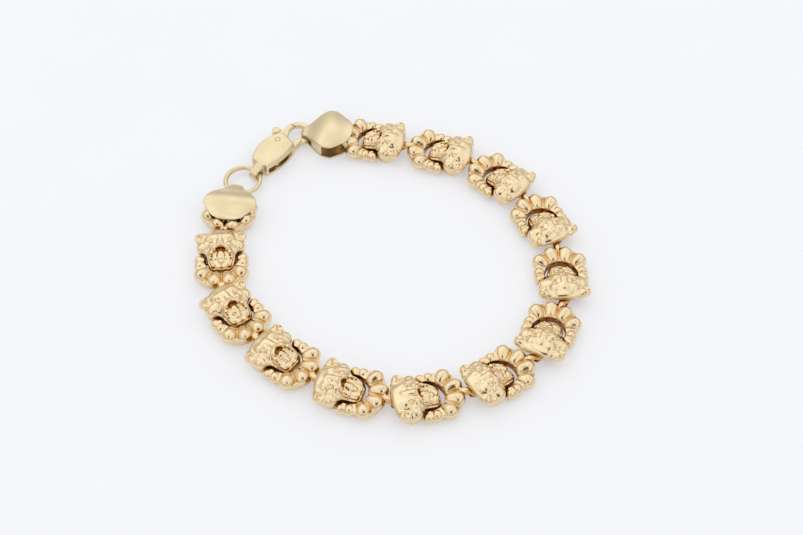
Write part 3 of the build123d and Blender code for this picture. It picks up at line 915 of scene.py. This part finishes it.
def model_tumbled(name):
    """A part of the clasp or the jump ring, in millimetres: one skin, its edges rounded by tumbling."""
    part = copy_of_node(name, "buffed_" + name, Matrix.Scale(1 / MM, 4))
    apply_modifier(part, "REMESH", mode="VOXEL", voxel_size=sizes().clasp_grain / MM)
    apply_modifier(part, "SMOOTH", factor=0.5, iterations=CLASP_SMOOTHING)
    apply_modifier(part, "DECIMATE", ratio=CLASP_FACES)
    return part


class BRACELET_OT_heads(bpy.types.Operator):
    """Make the roaring big cat heads"""

    bl_idname = "bracelet.heads"
    bl_label = "Heads"

    def execute(self, context):
        finish = made_once("cast_polished_14k_gold_with_painted_shade", cast_gold)
        head = model_head()
        collar = model_collar()
        neighbours = shifted_copies(collar, collar_from_head())
        # Painted shade on the head, where it and the collars close it in
        shade_recesses(head, neighbours)
        for index, name in enumerate(HEADS):
            lay_copy(head, "cast_" + name, head_place(index), name, finish, body_of(name))
        clear_away(neighbours + [head, collar])
        return {"FINISHED"}


class BRACELET_OT_collars(bpy.types.Operator):
    """Make the horseshoe collars"""

    bl_idname = "bracelet.collars"
    bl_label = "Collars"

    def execute(self, context):
        finish = made_once("cast_polished_14k_gold_with_painted_shade", cast_gold)
        head = model_head()
        collar = model_collar()
        neighbours = shifted_copies(head, head_from_collar())
        # Painted shade on the collar, where it and the heads close it in
        shade_recesses(collar, neighbours)
        for index, name in enumerate(COLLARS):
            lay_copy(collar, "cast_" + name, collar_place(index), name, finish, body_of(name))
        clear_away(neighbours + [head, collar])
        return {"FINISHED"}


class BRACELET_OT_caps(bpy.types.Operator):
    """Polish the two end caps"""

    bl_idname = "bracelet.caps"
    bl_label = "End caps"

    def execute(self, context):
        finish = made_once("buffed_14k_gold", polished_gold)
        for name, place in (("left_end_cap", left_cap_place()), ("right_end_cap", right_cap_place())):
            cap = model_cap(name, place)
            lay_copy(cap, "buffed_" + name, place, name, finish, body_of(name))
            clear_away([cap])
        return {"FINISHED"}


class BRACELET_OT_clasp(bpy.types.Operator):
    """Tumble and polish the jump ring and the lobster clasp"""

    bl_idname = "bracelet.clasp"
    bl_label = "Jump ring and clasp"

    def execute(self, context):
        finish = made_once("buffed_14k_gold", polished_gold)
        for name in ("jump_ring", "clasp_body", "clasp_lever", "clasp_pin"):
            piece = model_tumbled(name)
            piece.data.transform(Matrix.Scale(MM, 4))
            choose(piece)
            bpy.ops.object.shade_smooth_by_angle(angle=math.radians(CLASP_EDGE))
            piece.data.materials.append(finish)
            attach(piece, body_of(name))
            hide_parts(name)
        return {"FINISHED"}


def lay_table():
    deselect_all()
    bpy.ops.mesh.primitive_plane_add(size=TABLE_SIZE, location=(0, 0, -TABLE_DROP))
    table = bpy.context.active_object
    table.name = "table"
    table.data.materials.append(made_once("opal_acrylic", opal_acrylic))


def hang_tent():
    """Soft light from all around, with one dim opening in front, where the room behind is warm."""
    world = bpy.data.worlds.new("studio_tent")
    bpy.context.scene.world = world
    world.use_nodes = True
    tree = world.node_tree
    tree.nodes.clear()
    place = node(tree, "ShaderNodeTexCoord")
    parts = node(tree, "ShaderNodeSeparateXYZ", links={"Vector": place.outputs["Generated"]})
    tent = node(tree, "ShaderNodeValToRGB", links={"Fac": parts.outputs["Z"]})
    ramp = tent.color_ramp
    ramp.elements[0].color = TENT_FOOT
    ramp.elements[1].color = TENT_TOP
    for height, grey in TENT_BANDS:
        band = ramp.elements.new(height)
        band.color = (grey, grey, grey, 1)
    opening = node(
        tree, "ShaderNodeVectorMath", {"operation": "DISTANCE"}, {0: place.outputs["Generated"]})
    opening.inputs[1].default_value = OPENING_DIRECTION
    shade = node(
        tree, "ShaderNodeMapRange", {"interpolation_type": "SMOOTHSTEP"}, {"Value": opening.outputs["Value"]})
    shade.inputs["From Min"].default_value = OPENING_RADIUS - OPENING_BLUR
    shade.inputs["From Max"].default_value = OPENING_RADIUS + OPENING_BLUR
    lit = node(tree, "ShaderNodeMix", {"data_type": "RGBA"}, {"Factor": shade.outputs["Result"]})
    lit.inputs["A"].default_value = ROOM_COLOUR
    tree.links.new(tent.outputs["Color"], lit.inputs["B"])
    light = node(
        tree, "ShaderNodeBackground", links={"Color": lit.outputs["Result"]}, Strength=TENT_STRENGTH)
    node(tree, "ShaderNodeOutputWorld", links={"Surface": light.outputs["Background"]})


def hang_softbox():
    bpy.ops.object.light_add(type="AREA", location=SOFTBOX_PLACE)
    key = bpy.context.active_object
    key.name = "key_softbox"
    key.data.shape = "RECTANGLE"
    key.data.size, key.data.size_y = SOFTBOX_SIDES
    key.data.energy = SOFTBOX_POWER
    key.rotation_euler = (Vector((0, 0, 0)) - key.location).to_track_quat("-Z", "Y").to_euler()


def set_up_camera():
    deselect_all()
    bpy.ops.object.camera_add(location=CAMERA_PLACE, rotation=(math.radians(CAMERA_TILT), 0, 0))
    camera = bpy.context.active_object
    camera.name = "camera"
    camera.data.lens = CAMERA_LENS
    camera.data.sensor_width = CAMERA_SENSOR
    camera.data.clip_start = CAMERA_NEAR
    camera.data.clip_end = CAMERA_FAR
    bpy.context.scene.camera = camera


class BRACELET_OT_stage(bpy.types.Operator):
    """Set the table, the light and the camera"""

    bl_idname = "bracelet.stage"
    bl_label = "Table, light and camera"

    def execute(self, context):
        lay_table()
        hang_tent()
        hang_softbox()
        set_up_camera()
        context.scene.view_settings.view_transform = "Standard"
        return {"FINISHED"}


class BRACELET_PT_panel(bpy.types.Panel):
    """Lists the bracelet's pieces and their sizes"""

    bl_idname = "BRACELET_PT_panel"
    bl_label = "Bracelet"
    bl_space_type = "VIEW_3D"
    bl_region_type = "UI"
    bl_category = "Bracelet"

    def draw(self, context):
        for group in (context.scene.bracelet_sizes, context.scene.bracelet_colours):
            column = self.layout.column()
            for name in group.bl_rna.properties.keys():
                if name not in ("rna_type", "name"):
                    column.prop(group, name)
        for operator in OPERATORS:
            self.layout.operator(operator.bl_idname)


GROUPS = (BraceletSizes, BraceletColours)
OPERATORS = (
    BRACELET_OT_heads, BRACELET_OT_collars, BRACELET_OT_caps, BRACELET_OT_clasp, BRACELET_OT_stage)


def register():
    for item in GROUPS + OPERATORS + (BRACELET_PT_panel,):
        bpy.utils.register_class(item)
    bpy.types.Scene.bracelet_sizes = bpy.props.PointerProperty(type=BraceletSizes)
    bpy.types.Scene.bracelet_colours = bpy.props.PointerProperty(type=BraceletColours)


def unregister():
    del bpy.types.Scene.bracelet_colours
    del bpy.types.Scene.bracelet_sizes
    for item in reversed(GROUPS + OPERATORS + (BRACELET_PT_panel,)):
        bpy.utils.unregister_class(item)


def main():
    register()
    bpy.ops.bracelet.heads()
    bpy.ops.bracelet.collars()
    bpy.ops.bracelet.caps()
    bpy.ops.bracelet.clasp()
    bpy.ops.bracelet.stage()


if __name__ == "__main__":
    main()
